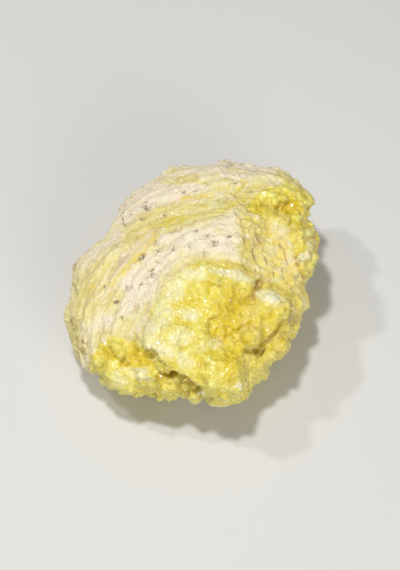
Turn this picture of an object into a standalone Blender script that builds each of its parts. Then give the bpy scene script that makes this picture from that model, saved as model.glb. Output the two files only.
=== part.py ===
"""Native sulfur hand specimen: one intergrown lump of pale fibrous rock and yellow crystalline sulfur.

It is about 96 mm wide and 48 mm high and rests on its flat broken underside. Metres, +Z up, the
origin at the middle of its footprint.

The lump is shaped in the frame of its broad upper face, which leans forward: u runs to the right,
v up the slope and w out of the face. Lengths in the lists and fields below are millimetres.
"""

import itertools
import math

import bmesh
import bpy
import numpy as np
from mathutils import Euler, Vector

MM = 0.001
SPHERE_DIVISIONS = 6
FACE_SIZE = 0.9
TRIANGLES = 11000

# The broad face: how steeply its outward normal rises, and how high its centre is above the base.
FACE_ELEVATION = math.radians(55)
FACE_CENTRE_HEIGHT = 23.5

# The lump before its relief: how far it swells in front of and behind its rim. The rim leans back,
# so that it lies closer to level than the broad face does.
SWELL_FRONT = 23.0
SWELL_BACK = 34.0
RIM_LEAN = 0.42
PLAN_FULLNESS = 0.78  # under 1 is fuller than an ellipsoid
SWELL_FULLNESS = 0.80

# The rim seen square to the broad face, anticlockwise from the right-hand bulge, as (u, v).
RIM = [
    (48.3, 15.3), (46.8, 20.6), (44.6, 26.0), (46.0, 33.8), (41.2, 38.7), (38.1, 42.6),
    (34.8, 44.9), (31.7, 44.5), (25.4, 44.8), (20.7, 46.7), (16.1, 47.0), (13.8, 49.1),
    (11.1, 48.7), (8.5, 46.2), (3.5, 46.3), (-7.1, 45.8), (-12.2, 41.1), (-16.9, 39.1),
    (-20.3, 37.0), (-24.7, 32.8), (-26.5, 27.0), (-29.0, 23.1), (-33.0, 18.0), (-36.8, 15.7),
    (-40.5, 12.0), (-43.8, 10.5), (-45.0, 6.0), (-45.2, 1.0), (-45.9, -5.4), (-47.3, -11.8),
    (-45.0, -16.0), (-43.9, -21.7), (-41.4, -27.1), (-37.6, -31.7), (-33.6, -32.0), (-31.8, -38.2),
    (-26.2, -40.0), (-22.5, -40.6), (-13.4, -40.2), (-11.3, -42.5), (-3.9, -39.5), (-0.5, -41.9),
    (2.0, -44.2), (3.9, -40.8), (7.0, -41.0), (8.3, -44.5), (12.8, -44.2), (17.6, -42.3),
    (21.0, -41.0), (22.1, -37.4), (24.9, -34.7), (28.9, -32.6), (29.2, -28.7), (32.5, -26.3),
    (34.8, -23.4), (36.3, -19.4), (39.3, -18.1), (41.0, -14.5), (41.0, -10.4), (44.7, -7.5),
    (43.1, -4.5), (42.0, 0.5), (43.0, 3.5), (47.1, 6.1), (48.5, 10.6),
]

# Broad swellings and hollows of the face: centre (u, v), half-lengths, turn in degrees, height and
# how rounded the border is (0.5 is a half ball, 2 fades out softly).
DOMES = {
    "striped_dome": ((2.0, 14.0), (32, 19), 40, 5.5, 1.6),
    "front_mass": ((3.0, -18.0), (24, 26), 20, 5.5, 0.7),
    "front_mass_foot": ((-3.0, -30.0), (9, 7), -35, 2.4, 0.8),
    "front_mass_roll": ((12.0, 4.0), (15, 4.0), -10, 2.4, 0.8),
    "front_mass_shoulder": ((-10.0, -17.0), (11, 9), 60, 2.6, 0.8),
    "bottom_mass": ((12.5, -36.0), (10.0, 12.0), 0, 5.5, 0.7),
    "hollow_top": ((18.0, -6.5), (6.5, 6.5), 30, -3.0, 0.8),
    "hollow_foot": ((13.0, -16.5), (6.6, 5.4), -10, -4.6, 0.8),
    "lobe": ((29.3, -9.5), (9.5, 10.5), -20, 5.0, 0.6),
    "lobe_knob": ((22.2, -19.4), (4.8, 4.8), 0, 5.2, 0.5),
    "pocket": ((-19.0, -26.5), (7.2, 4.4), -12, -3.2, 0.8),
    "pocket_lump": ((-27.3, -22.7), (3.6, 3.6), 0, 3.0, 0.6),
    "corner_lump": ((-29.3, -30.5), (4.4, 3.8), 0, 3.4, 0.6),
    "lip_lump": ((-15.3, -33.3), (6.2, 4.4), 10, 4.6, 0.7),
    "crust_lump_a": ((-31.0, -36.0), (4.0, 3.0), 0, 2.4, 0.6),
    "crust_lump_b": ((-23.5, -38.0), (4.6, 3.4), 10, 3.2, 0.6),
    "crust_lump_c": ((-8.0, -40.0), (5.0, 2.8), 0, 2.8, 0.6),
    "crust_lump_d": ((1.5, -42.2), (3.0, 3.4), 0, 2.6, 0.6),
    "vug": ((36.0, 29.0), (8.0, 4.0), -10, -5.0, 0.8),
    "vug_left": ((27.5, 31.0), (4.0, 3.4), 20, -2.4, 1.0),
    "bulge": ((42.5, 14.5), (6.5, 9.5), 0, 4.6, 0.7),
    "bulge_chalk_lump": ((42.0, 10.5), (2.8, 2.6), 0, 1.6, 0.6),
    "right_flank": ((30.0, 12.0), (10.0, 17.0), 8, -4.0, 1.4),
    "terrace_crest": ((33.2, -21.0), (8.5, 3.6), 45, 3.6, 0.8),
    "terrace_foot": ((27.0, -29.5), (6.5, 3.0), 55, 2.2, 0.8),
    "upper_left_swell": ((-30.0, 8.0), (15, 7), 48, 2.8, 1.2),
    "left_corner_swell": ((-37.0, -10.0), (12, 5), 70, 1.8, 1.2),
    "top_swell": ((14.0, 41.5), (22, 5.0), 0, 2.4, 1.2),
    "pale_ridge": ((5.0, 31.5), (13, 2.6), 8, 1.8, 1.0),
}

# Ledges: a line (u, v), the height of the ground on the line's left above that on its right, how far
# back the raised ground reaches, and the width of the riser.
DOME_EDGE = [
    (24.5, 33.5), (20.0, 31.5), (12.0, 29.5), (3.5, 27.5), (-3.5, 25.0), (-9.5, 23.0),
    (-13.5, 21.5), (-12.6, 18.2), (-18.0, 15.0), (-20.5, 10.5), (-27.0, 5.0), (-34.0, -2.0),
]
FRONT_ROLL = [(26.0, 2.5), (18.5, 6.0), (12.0, 7.4), (5.5, 8.2), (-0.5, 6.6)]
LOBE_EDGE = [
    (19.0, -21.5), (20.5, -24.0), (22.5, -24.4), (27.0, -21.8), (32.0, -18.8), (36.5, -13.5),
    (38.3, -5.0), (37.5, 1.0),
]
FRONT_LEDGE = [
    (-20.0, -23.0), (-13.8, -24.2), (-12.0, -28.5), (-6.0, -33.2), (-0.5, -36.0), (2.8, -38.6),
    (5.0, -41.0),
]
LEDGES = {
    "dome_edge": (DOME_EDGE, 2.4, 20.0, 1.0),
    "upper_plate": ([(27.0, 41.0), (22.5, 39.5), (18.5, 35.8), (12.0, 34.5), (5.5, 33.7), (-5.0, 32.7),
                     (-13.0, 29.5)], -2.0, 7.0, 1.0),
    "front_roll": (FRONT_ROLL, 2.2, 9.0, 1.0),
    "hollow_rim": ([(8.0, -22.0), (6.3, -19.0), (6.0, -16.0), (8.0, -12.7), (13.5, -11.8)], 2.4, 8.0, 0.8),
    "lobe_edge": (LOBE_EDGE, 3.2, 12.0, 1.0),
    "bottom_side": ([(22.5, -39.0), (20.0, -31.0), (20.2, -25.0)], 4.5, 10.0, 1.2),
    "front_ledge": (FRONT_LEDGE, 4.4, 12.0, 1.0),
    "corner_ledge": ([(-33.0, -34.5), (-34.5, -28.0), (-33.0, -22.5), (-27.5, -19.0), (-19.0, -18.5)],
                     1.2, 8.0, 1.2),
    "vug_roof": ([(24.0, 35.5), (28.0, 33.5), (33.0, 32.8), (39.5, 32.4), (44.0, 30.0)], 2.0, 7.0, 0.8),
    "fold": ([(19.5, 0.0), (18.5, 9.0), (18.5, 15.5), (17.5, 23.0), (14.5, 29.0)], 1.8, 9.0, 3.0),
}

# Clefts: a line (u, v), depth and half-width.
CLEFTS = {
    "vein_trough": ([(u - 0.7, v + 1.3) for u, v in DOME_EDGE], 2.6, 1.5),
    "roll_trough": ([(u, v + 1.7) for u, v in FRONT_ROLL], 2.4, 1.5),
    "upper_trough": ([(18.5, 36.4), (12.0, 34.9), (5.5, 34.0), (-5.0, 33.2)], 1.6, 1.2),
    "roll_end": ([(26.0, 3.0), (24.8, -2.5), (22.5, -8.0)], 4.5, 1.6),
    "lobe_foot": ([(u + 0.9, v - 1.2) for u, v in LOBE_EDGE], 1.3, 1.2),
    "ledge_foot": ([(u - 0.7, v - 1.2) for u, v in FRONT_LEDGE], 1.8, 1.2),
    "bulge_cleft": ([(39.0, 19.0), (39.2, 12.5), (41.2, 6.0)], 3.0, 1.2),
    "flank_crease": ([(-44.5, -15.0), (-40.5, -24.5), (-35.0, -32.0)], 2.2, 1.1),
    "flank_crease_high": ([(-44.0, 5.0), (-43.0, -6.0), (-43.8, -15.0)], 0.9, 0.8),
    "knob_cleft": ([(21.0, -13.0), (17.8, -17.0), (17.4, -21.5)], 2.0, 1.2),
    "mass_seam": ([(-5.0, -29.0), (3.0, -27.5), (9.0, -30.0), (17.0, -28.5)], 1.4, 1.3),
    "lip_seam": ([(-21.0, -31.0), (-19.0, -34.5), (-10.0, -36.5)], 1.6, 1.2),
}

# Unevenness all over, as heights and sizes of its swellings, and how much more of it the back has.
UNEVENNESS = ((0.9, 13), (0.5, 6))
ROUGHER_BACK = 0.8

# The rock's fibres and layers curve round this axis, square to the broad face.
GRAIN_AXIS = (18.5, -19.0)
LAYER_LEAN = 0.6  # how much of a layer's spacing is taken along w
LAYER_SPACING = 4.6
LAYER_HEIGHT = 0.75
LAYER_WAVE = (2.6, 16)  # how far the layers wander, and over what length

# Where yellow crystals, and not fibrous rock, make up the face: centre (u, v), half-lengths, turn and
# the share of the full crystal height.
CRYSTAL_AREAS = {
    "front_mass": ((6.0, -16.0), (27, 26), 20, 0.6),
    "hollow": ((15.0, -12.0), (9, 12), -10, 1.0),
    "lobe": ((29.0, -9.0), (12, 14), -20, 0.7),
    "bottom": ((10.0, -37.0), (15, 12), 0, 0.8),
    "terrace": ((33.0, -21.0), (14, 9), 40, 1.0),
    "front_crust": ((-18.0, -36.0), (24, 9), 8, 1.0),
    "pocket": ((-22.0, -27.0), (14, 9), 0, 1.0),
    "vug": ((36.0, 28.0), (12, 8), 0, 1.0),
    "bulge": ((43.0, 15.0), (8, 12), 0, 0.8),
}
CRYSTAL_SPACING = 3.4
CRYSTAL_HEIGHT = 1.8
CRYSTAL_REACH = 1.2  # where a crystal's flat faces meet the ground, in half widths
HIDDEN_CRYSTAL_SHARE = 0.8
HIDDEN_PATCH_SIZE = 22

# Flat breaks on the hidden sides, as an outward direction (x, y, z) and a distance from the middle.
BREAKS = {
    "back_left": ((-0.55, 0.80, -0.10), 41.0),
    "back": ((0.18, 0.98, -0.05), 42.5),
    "back_right": ((0.72, 0.66, -0.12), 42.0),
    "back_low": ((-0.05, 0.80, -0.60), 38.0),
    "left_low": ((-0.80, 0.10, -0.58), 38.5),
    "right_low": ((0.82, -0.12, -0.55), 38.0),
    "front_low": ((-0.20, -0.80, -0.56), 39.5),
}
BREAK_DEPTH = 0.85  # share of what stands proud of a break that is taken off
BREAK_ROUGHNESS = (1.6, 9)

GROUND_BLOCK = (0.3, 0.3, 0.1)  # metres
SHARP_EDGE = math.radians(40)
SULFUR_COLOUR = (0.76, 0.62, 0.22, 1)
SULFUR_ROUGHNESS = 0.5

LATTICE = 32
RANDOM = np.random.default_rng(11)
LATTICE_VALUES = RANDOM.uniform(-1, 1, (LATTICE,) * 3)
LATTICE_JITTER = RANDOM.uniform(0.1, 0.9, (LATTICE,) * 3 + (3,))
CRYSTAL_TURNS = np.array([Euler(RANDOM.uniform(0, math.pi, 3)).to_matrix() for _ in range(8)])

RIGHT = np.array((1.0, 0.0, 0.0))
UPSLOPE = np.array((0.0, math.sin(FACE_ELEVATION), math.cos(FACE_ELEVATION)))
OUTWARD = np.array((0.0, -math.cos(FACE_ELEVATION), math.sin(FACE_ELEVATION)))
FACE_FRAME = np.stack((RIGHT, UPSLOPE, OUTWARD))


def smooth_ramp(values, low, high):
    """0 below low, 1 above high, and a smooth curve between."""
    share = np.clip((values - low) / (high - low), 0, 1)
    return share * share * (3 - 2 * share)


def noise(points, size):
    """Smooth noise from -1 to 1 whose swellings are about `size` millimetres across."""
    scaled = points / size
    base = np.floor(scaled).astype(int)
    part = scaled - base
    part = part * part * (3 - 2 * part)
    total = np.zeros(len(points))
    for corner in itertools.product((0, 1), repeat=3):
        x, y, z = ((base + corner) % LATTICE).T
        weight = np.prod(np.where(corner, part, 1 - part), axis=1)
        total += weight * LATTICE_VALUES[x, y, z]
    return total


def crystal_cells(points, size):
    """For each point, its distance to the middle of the nearest crystal, in half widths of a crystal,
    and that crystal's own random size. The distance is that of a double pyramid's flat faces."""
    scaled = points / size
    base = np.floor(scaled).astype(int)
    nearest = np.full(len(points), np.inf)
    sizes = np.zeros(len(points))
    for offset in itertools.product((-1, 0, 1), repeat=3):
        cell = base + offset
        x, y, z = (cell % LATTICE).T
        apart = cell + LATTICE_JITTER[x, y, z] - scaled
        turned = np.einsum("nij,nj->ni", CRYSTAL_TURNS[(x + 2 * y + 3 * z) % len(CRYSTAL_TURNS)], apart)
        distance = np.abs(turned).sum(axis=1)
        closer = distance < nearest
        nearest[closer] = distance[closer]
        sizes[closer] = LATTICE_VALUES[x, y, z][closer]
    return nearest, sizes


def oval(face, centre, half_lengths, turn):
    """Distance from the oval's centre as a share of the way to its border."""
    angle = math.radians(turn)
    u, v = (face - centre).T
    along = (u * math.cos(angle) + v * math.sin(angle)) / half_lengths[0]
    across = (v * math.cos(angle) - u * math.sin(angle)) / half_lengths[1]
    return np.hypot(along, across)


def from_line(face, line):
    """Signed distance to a line, positive on its left, and 0 at its two ends to 1 along it."""
    corners = np.array(line)
    lengths = np.linalg.norm(np.diff(corners, axis=0), axis=1)
    run = np.concatenate(([0], np.cumsum(lengths)))
    best = np.full(len(face), np.inf)
    signed = np.zeros(len(face))
    along = np.zeros(len(face))
    for start, end, length, before in zip(corners, corners[1:], lengths, run):
        direction = (end - start) / length
        offset = face - start
        reach = np.clip(offset @ direction, 0, length)
        distance = np.linalg.norm(offset - reach[:, None] * direction, axis=1)
        side = np.sign(direction[0] * offset[:, 1] - direction[1] * offset[:, 0])
        closer = distance < best
        best[closer] = distance[closer]
        signed[closer] = (side * distance)[closer]
        along[closer] = (before + reach[closer]) / run[-1]
    return signed, smooth_ramp(np.minimum(along, 1 - along), 0, 0.15)


def relief(face):
    """Height of the face's named features at points (u, v)."""
    height = np.zeros(len(face))
    for centre, half_lengths, turn, rise, border in DOMES.values():
        inside = np.clip(1 - oval(face, centre, half_lengths, turn) ** 2, 0, 1)
        height += rise * inside**border
    for line, rise, reach, riser in LEDGES.values():
        signed, fade = from_line(face, line)
        raised = smooth_ramp(signed, -riser / 2, riser / 2) * np.exp(-np.maximum(signed, 0) / reach)
        height += rise * fade * raised
    for line, depth, half_width in CLEFTS.values():
        signed, fade = from_line(face, line)
        height -= depth * fade * np.exp(-((signed / half_width) ** 2))
    return height


def crystal_share(points):
    """0 where the surface is fibrous rock, up to 1 where it is full-height yellow crystals."""
    share = np.zeros(len(points))
    for centre, half_lengths, turn, height in CRYSTAL_AREAS.values():
        inside = smooth_ramp(-oval(points[:, :2], centre, half_lengths, turn), -1.05, -0.8)
        share = np.maximum(share, height * inside)
    hidden = smooth_ramp(-points[:, 2], 4, 14)
    patches = smooth_ramp(noise(points + 40, HIDDEN_PATCH_SIZE), -0.1, 0.25)
    return share * (1 - hidden) + HIDDEN_CRYSTAL_SHARE * hidden * patches


def rim_radius(angles):
    """Distance from the face's middle to the rim."""
    u, v = np.array(RIM).T
    around = np.arctan2(v, u)
    order = np.argsort(around)
    return np.interp(angles, around[order], np.hypot(u, v)[order], period=2 * math.pi)


def swollen_lump(directions):
    """The lump with its named features, as points (u, v, w), from directions on a unit ball."""
    u, v, w = directions.T
    plan = np.hypot(u, v)
    angles = np.arctan2(v, u)
    radius = rim_radius(angles) * plan**PLAN_FULLNESS
    face = np.stack((radius * np.cos(angles), radius * np.sin(angles)), axis=1)
    swell = np.where(w > 0, SWELL_FRONT, -SWELL_BACK) * np.abs(w) ** SWELL_FULLNESS
    in_front = smooth_ramp(w, 0.02, 0.30)
    out = swell - RIM_LEAN * face[:, 1] + in_front * relief(face)
    return np.column_stack((face, out))


def broken_flat(points):
    """Takes off what stands proud of the breaks on the hidden sides."""
    row = points @ FACE_FRAME
    behind = smooth_ramp(-points[:, 2] - RIM_LEAN * points[:, 1], -3, 6)
    for direction, distance in BREAKS.values():
        normal = np.array(direction) / np.linalg.norm(direction)
        rough = BREAK_ROUGHNESS[0] * noise(points, BREAK_ROUGHNESS[1])
        proud = np.maximum(row @ normal - distance - rough, 0)
        row -= (BREAK_DEPTH * behind * proud)[:, None] * normal
    return row @ FACE_FRAME.T


def surface_height(points):
    """How far the surface stands out of the lump: broad unevenness, rock layers and crystals."""
    (broad_height, broad_size), (fine_height, fine_size) = UNEVENNESS
    uneven = broad_height * noise(points, broad_size) + fine_height * noise(points[:, ::-1], fine_size)
    uneven *= 1 + ROUGHER_BACK * smooth_ramp(-points[:, 2] - RIM_LEAN * points[:, 1], 0, 10)
    across = np.hypot(*(points[:, :2] - GRAIN_AXIS).T) - LAYER_LEAN * points[:, 2]
    layer = (across + LAYER_WAVE[0] * noise(points, LAYER_WAVE[1])) / LAYER_SPACING % 1
    layers = LAYER_HEIGHT * (smooth_ramp(layer, 0, 0.75) - smooth_ramp(layer, 0.8, 1.0))
    nearest, sizes = crystal_cells(points, CRYSTAL_SPACING)
    crystals = CRYSTAL_HEIGHT * (1 + 0.6 * sizes) * np.clip(CRYSTAL_REACH - nearest, 0, 1)
    share = crystal_share(points)
    return uneven + (1 - share) * layers + share * (crystals - 0.5 * CRYSTAL_HEIGHT)


def vertex_array(mesh, name):
    values = np.empty(len(mesh.vertices) * 3, np.float32)
    if name == "co":
        mesh.vertices.foreach_get("co", values)
    else:
        mesh.vertex_normals.foreach_get("vector", values)
    return values.reshape(-1, 3).astype(float)


def set_points(mesh, points):
    mesh.vertices.foreach_set("co", points.astype(np.float32).ravel())
    mesh.update()


def even_faces(mesh):
    """The same closed surface in faces of one size, so that steep risers hold detail too."""
    rough = bpy.data.objects.new("rough_lump", mesh)
    bpy.context.scene.collection.objects.link(rough)
    modifier = rough.modifiers.new("even_faces", "REMESH")
    modifier.mode = "VOXEL"
    modifier.voxel_size = FACE_SIZE
    evaluated = rough.evaluated_get(bpy.context.evaluated_depsgraph_get())
    even = bpy.data.meshes.new_from_object(evaluated)
    bpy.data.objects.remove(rough)
    return even


def make_lump():
    """The closed lump in row axes, still in the face's position, before its underside is cut."""
    shape = bmesh.new()
    bmesh.ops.create_icosphere(shape, subdivisions=SPHERE_DIVISIONS, radius=1)
    mesh = bpy.data.meshes.new("sulfur_specimen")
    shape.to_mesh(mesh)
    shape.free()
    set_points(mesh, broken_flat(swollen_lump(vertex_array(mesh, "co"))))
    mesh = even_faces(mesh)
    points = vertex_array(mesh, "co")
    points = points + surface_height(points)[:, None] * vertex_array(mesh, "normal")
    row = points @ FACE_FRAME
    row[:, 2] += FACE_CENTRE_HEIGHT
    set_points(mesh, row * MM)
    return bpy.data.objects.new("sulfur_specimen", mesh)


def simplify(lump):
    """Keeps the faces that the shape needs, within the object's budget."""
    modifier = lump.modifiers.new("fewer_faces", "DECIMATE")
    modifier.ratio = TRIANGLES / (2 * len(lump.data.polygons))


def cut_underside(lump, cutters):
    """Cuts the lump off level, where it broke from the ground, so that it stands on a flat face."""
    bpy.ops.mesh.primitive_cube_add(size=1)
    block = bpy.context.object
    block.name = "ground_block"
    block.dimensions = GROUND_BLOCK
    block.location = (0, 0, -GROUND_BLOCK[2] / 2)
    block.hide_render = True
    block.display_type = "WIRE"
    for collection in block.users_collection:
        collection.objects.unlink(block)
    cutters.objects.link(block)
    modifier = lump.modifiers.new("flat_underside", "BOOLEAN")
    modifier.operation = "DIFFERENCE"
    modifier.object = block


def centre_footprint(lump):
    """Moves the lump so that the origin is at the middle of its bounds, on the ground."""
    bpy.context.view_layer.update()
    corners = [Vector(corner) for corner in lump.bound_box]
    low = Vector(map(min, *corners))
    high = Vector(map(max, *corners))
    lump.location = (-(low.x + high.x) / 2, -(low.y + high.y) / 2, 0)


def sulfur_material():
    material = bpy.data.materials.new("native_sulfur")
    material.use_nodes = True
    shader = material.node_tree.nodes["Principled BSDF"]
    shader.inputs["Base Color"].default_value = SULFUR_COLOUR
    shader.inputs["Roughness"].default_value = SULFUR_ROUGHNESS
    shader.inputs["Metallic"].default_value = 0.0
    return material


def main():
    for old in list(bpy.data.objects):
        bpy.data.objects.remove(old)
    parts = bpy.data.collections.new("sulfur_specimen")
    cutters = bpy.data.collections.new("cutters")
    for collection in (parts, cutters):
        bpy.context.scene.collection.children.link(collection)
    lump = make_lump()
    lump.data.materials.append(sulfur_material())
    lump.data.shade_smooth()
    lump.data.set_sharp_from_angle(angle=SHARP_EDGE)
    parts.objects.link(lump)
    simplify(lump)
    cut_underside(lump, cutters)
    centre_footprint(lump)


main()
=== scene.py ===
"""Looks of the native sulfur specimen: pale fibrous rock with veins and hollows of yellow crystals."""

import itertools
import math

import bmesh
import bpy
import numpy as np
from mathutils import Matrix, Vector


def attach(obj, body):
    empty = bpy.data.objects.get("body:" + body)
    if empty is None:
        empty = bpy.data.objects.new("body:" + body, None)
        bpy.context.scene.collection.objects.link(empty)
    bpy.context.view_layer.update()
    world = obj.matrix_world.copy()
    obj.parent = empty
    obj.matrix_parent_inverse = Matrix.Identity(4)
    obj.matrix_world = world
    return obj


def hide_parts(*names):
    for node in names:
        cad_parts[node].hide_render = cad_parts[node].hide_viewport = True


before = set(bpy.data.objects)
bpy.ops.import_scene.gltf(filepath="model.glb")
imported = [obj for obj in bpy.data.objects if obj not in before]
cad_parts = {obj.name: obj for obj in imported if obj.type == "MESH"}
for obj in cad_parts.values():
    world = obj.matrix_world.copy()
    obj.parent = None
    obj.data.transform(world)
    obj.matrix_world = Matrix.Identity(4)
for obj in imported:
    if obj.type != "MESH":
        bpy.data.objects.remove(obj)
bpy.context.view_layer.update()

MM = 0.001
NODE = "sulfur_specimen"
BODY = "root"
RANDOM = np.random.default_rng(5)

# The photograph's view. The broad face is seen square on, 55 degrees above the horizon.

PHOTO_WIDTH = 400
PHOTO_HEIGHT = 570
MM_PER_PIXEL = 0.38
VIEW_ELEVATION = math.radians(55)
VIEW_DISTANCE = 0.9
FACE_PIXEL = (191, 286)
FACE_CENTRE = np.array((-0.6, 2.5, 23.5))  # millimetres

RIGHT = np.array((1.0, 0.0, 0.0))
UPSLOPE = np.array((0.0, math.sin(VIEW_ELEVATION), math.cos(VIEW_ELEVATION)))
OUTWARD = np.array((0.0, -math.cos(VIEW_ELEVATION), math.sin(VIEW_ELEVATION)))
FACE_AXES = np.stack((RIGHT, UPSLOPE, OUTWARD))
VIEW_CENTRE = (
    FACE_CENTRE
    + (PHOTO_WIDTH / 2 - FACE_PIXEL[0]) * MM_PER_PIXEL * RIGHT
    + (FACE_PIXEL[1] - PHOTO_HEIGHT / 2) * MM_PER_PIXEL * UPSLOPE
)
EYE = VIEW_CENTRE + VIEW_DISTANCE / MM * OUTWARD


def link(thing):
    bpy.context.scene.collection.objects.link(thing)


def make_camera():
    data = bpy.data.cameras.new("camera")
    data.sensor_width = 36
    data.lens = data.sensor_width * VIEW_DISTANCE / (PHOTO_HEIGHT * MM_PER_PIXEL * MM)
    data.clip_start = 0.01
    camera = bpy.data.objects.new("camera", data)
    camera.location = Vector(EYE) * MM
    camera.rotation_euler = (-Vector(OUTWARD)).to_track_quat("-Z", "Y").to_euler()
    link(camera)
    bpy.context.scene.camera = camera


def seen_at(points):
    """The photograph's pixel at which each point appears."""
    offset = points - EYE
    depth = -(offset @ OUTWARD)
    scale = VIEW_DISTANCE / MM / depth / MM_PER_PIXEL
    across = PHOTO_WIDTH / 2 + offset @ RIGHT * scale
    down = PHOTO_HEIGHT / 2 - offset @ UPSLOPE * scale
    return np.column_stack((across, down))


# Noise and shapes on arrays of points

LATTICE = 64
LATTICE_VALUES = RANDOM.uniform(-1, 1, (LATTICE,) * 3).astype(np.float32)
LATTICE_JITTER = RANDOM.uniform(0.1, 0.9, (LATTICE,) * 3 + (3,)).astype(np.float32)
NEIGHBOURS = list(itertools.product((-1, 0, 1), repeat=3))
CRYSTAL_TURNS = np.linalg.qr(RANDOM.normal(size=(29, 3, 3)))[0]
CRYSTAL_SLOPES = np.array((1.1, 1.3, 0.7))
TURN_PICKER = 997  # spreads the lattice's values over the turns
KNOB_REACH = 0.9  # of a cell
PART_SHIFTS = (0, 31, 67)  # millimetres between the noises that make up a vector


def unit(arrows):
    return arrows / np.linalg.norm(arrows, axis=1)[:, None]


def dot(first, second):
    return np.einsum("ij,ij->i", first, second)


def ramp(values, low, high):
    """0 below low, 1 above high, and a smooth curve between."""
    share = np.clip((values - low) / (high - low), 0, 1)
    return share * share * (3 - 2 * share)


def noise(points, size):
    """Smooth noise from -1 to 1; `size` is the swellings' width, one for all axes or one for each."""
    scaled = points / np.array(size)
    base = np.floor(scaled).astype(int)
    part = scaled - base
    part = part * part * (3 - 2 * part)
    total = np.zeros(len(points))
    for corner in itertools.product((0, 1), repeat=3):
        x, y, z = ((base + corner) % LATTICE).T
        weight = np.prod(np.where(corner, part, 1 - part), axis=1)
        total += weight * LATTICE_VALUES[x, y, z]
    return total


def ridges(points, size):
    """Noise folded into sharp crests, from -0.5 to 0.5."""
    return 0.5 - np.abs(noise(points, size))


def vectors(points, size):
    """Noise as a vector for each point, to bend straight patterns."""
    return np.column_stack([noise(points + shift, size) for shift in PART_SHIFTS])


def waves(kind, points, parts):
    """The sum of several noises of one kind, each with its height, its shift and its size."""
    return sum(height * kind(points + shift, size) for height, shift, size in parts)


def seeds_around(points, size):
    """The way to each seed nearby, in cells of the size given, and the seed's value."""
    scaled = points / size
    base = np.floor(scaled).astype(int)
    for offset in NEIGHBOURS:
        cell = base + offset
        x, y, z = (cell % LATTICE).T
        yield cell + LATTICE_JITTER[x, y, z] - scaled, LATTICE_VALUES[x, y, z]


def knob_cells(points, size):
    """Height of packed round knobs, 1 at each top and 0 at the creases."""
    nearest = np.min([np.linalg.norm(arm, axis=1) for arm, _ in seeds_around(points, size)], axis=0)
    return np.sqrt(np.clip(1 - (nearest / KNOB_REACH) ** 2, 0, 1))


def crystal_cells(points, size):
    """Height of packed double pyramids, each turned its own way: 1 at a tip and 0 at the creases."""
    height = np.full(len(points), -np.inf)
    for arm, value in seeds_around(points, size):
        kind = (np.abs(value) * TURN_PICKER).astype(int) % len(CRYSTAL_TURNS)
        turned = np.abs(np.einsum("nij,nj->ni", CRYSTAL_TURNS[kind], arm))
        height = np.maximum(height, 1 - turned @ CRYSTAL_SLOPES)
    return height


def oval(pixels, middle_x, middle_y, half_length, half_width, turn=0):
    """Distance from an oval's middle as a share of the way to its border."""
    angle = math.radians(turn)
    x, y = (pixels - (middle_x, middle_y)).T
    along = (x * math.cos(angle) + y * math.sin(angle)) / half_length
    across = (y * math.cos(angle) - x * math.sin(angle)) / half_width
    return np.hypot(along, across)


def soft(distance, edge):
    """1 well inside an oval's border, 0 outside it, blurred over `edge`."""
    return ramp(-distance, -1 - edge, -1 + edge)


def dome(distance):
    """1 in an oval's middle, falling in a curve to 0 at its border."""
    return np.clip(1 - distance ** 2, 0, 1)


def bulges(pixels, rows, curve=1):
    """Height in millimetres of round bulges, each as high as its radius."""
    height = np.zeros(len(pixels))
    for x, y, radius in rows:
        share = dome(oval(pixels, x, y, radius, radius)) ** curve
        height = np.maximum(height, radius * MM_PER_PIXEL * share)
    return height


def from_line(pixels, line):
    """Distance to a line in pixels, positive on its left, and how far along it that is, from 0 to 1."""
    corners = np.array(line, float)
    lengths = np.linalg.norm(np.diff(corners, axis=0), axis=1)
    run = np.concatenate(([0], np.cumsum(lengths)))
    best = np.full(len(pixels), np.inf)
    side = np.ones(len(pixels))
    along = np.zeros(len(pixels))
    for start, end, length, before in zip(corners, corners[1:], lengths, run):
        direction = (end - start) / length
        offset = pixels - start
        reach = np.clip(offset @ direction, 0, length)
        distance = np.linalg.norm(offset - reach[:, None] * direction, axis=1)
        closer = distance < best
        best[closer] = distance[closer]
        turned = offset[:, 0] * direction[1] - offset[:, 1] * direction[0]
        side[closer] = np.where(turned[closer] < 0, -1, 1)
        along[closer] = (before + reach[closer]) / run[-1]
    return best * side, along


def tapered(along, share):
    """1 along a line, and falling to 0 over a share of its length at both ends."""
    return ramp(np.minimum(along, 1 - along), 0, share)


def inside(pixels, outline):
    """Distance to a closed outline in pixels, positive inside it."""
    closed = list(outline) + [outline[0]]
    distance, _ = from_line(pixels, closed)
    x, y = pixels.T
    within = np.zeros(len(pixels), bool)
    for (x0, y0), (x1, y1) in zip(closed, closed[1:]):
        if y0 != y1:
            crosses = (y > min(y0, y1)) & (y <= max(y0, y1))
            within ^= crosses & (x < x0 + (y - y0) / (y1 - y0) * (x1 - x0))
    return np.where(within, 1, -1) * np.abs(distance)


# Where the kinds of surface are, in the photograph's pixels. A spot is an oval: its middle, its half
# length and half width and, where it is turned, its turn in degrees.

CRYSTAL_OUTLINES = [
    [(150, 322), (156, 304), (168, 288), (178, 274), (192, 264), (208, 261), (224, 262), (238, 265),
     (252, 272), (264, 280), (278, 284), (290, 291), (301, 300), (308, 312), (306, 340), (285, 362),
     (270, 382), (256, 400), (236, 416), (206, 416), (190, 408), (160, 410), (120, 402), (98, 390),
     (92, 372), (94, 354), (98, 342), (112, 336), (130, 338), (142, 342)],
    [(246, 204), (254, 193), (268, 186), (286, 182), (302, 188), (316, 198), (314, 214), (306, 224),
     (292, 226), (276, 224), (262, 220), (252, 212)],
    [(288, 224), (300, 220), (312, 222), (324, 240), (324, 264), (312, 280), (300, 276), (296, 262),
     (292, 244)],
    [(158, 224), (172, 212), (196, 205), (222, 201), (250, 194), (246, 201), (222, 208), (198, 214),
     (180, 221), (164, 227)],
]
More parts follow.
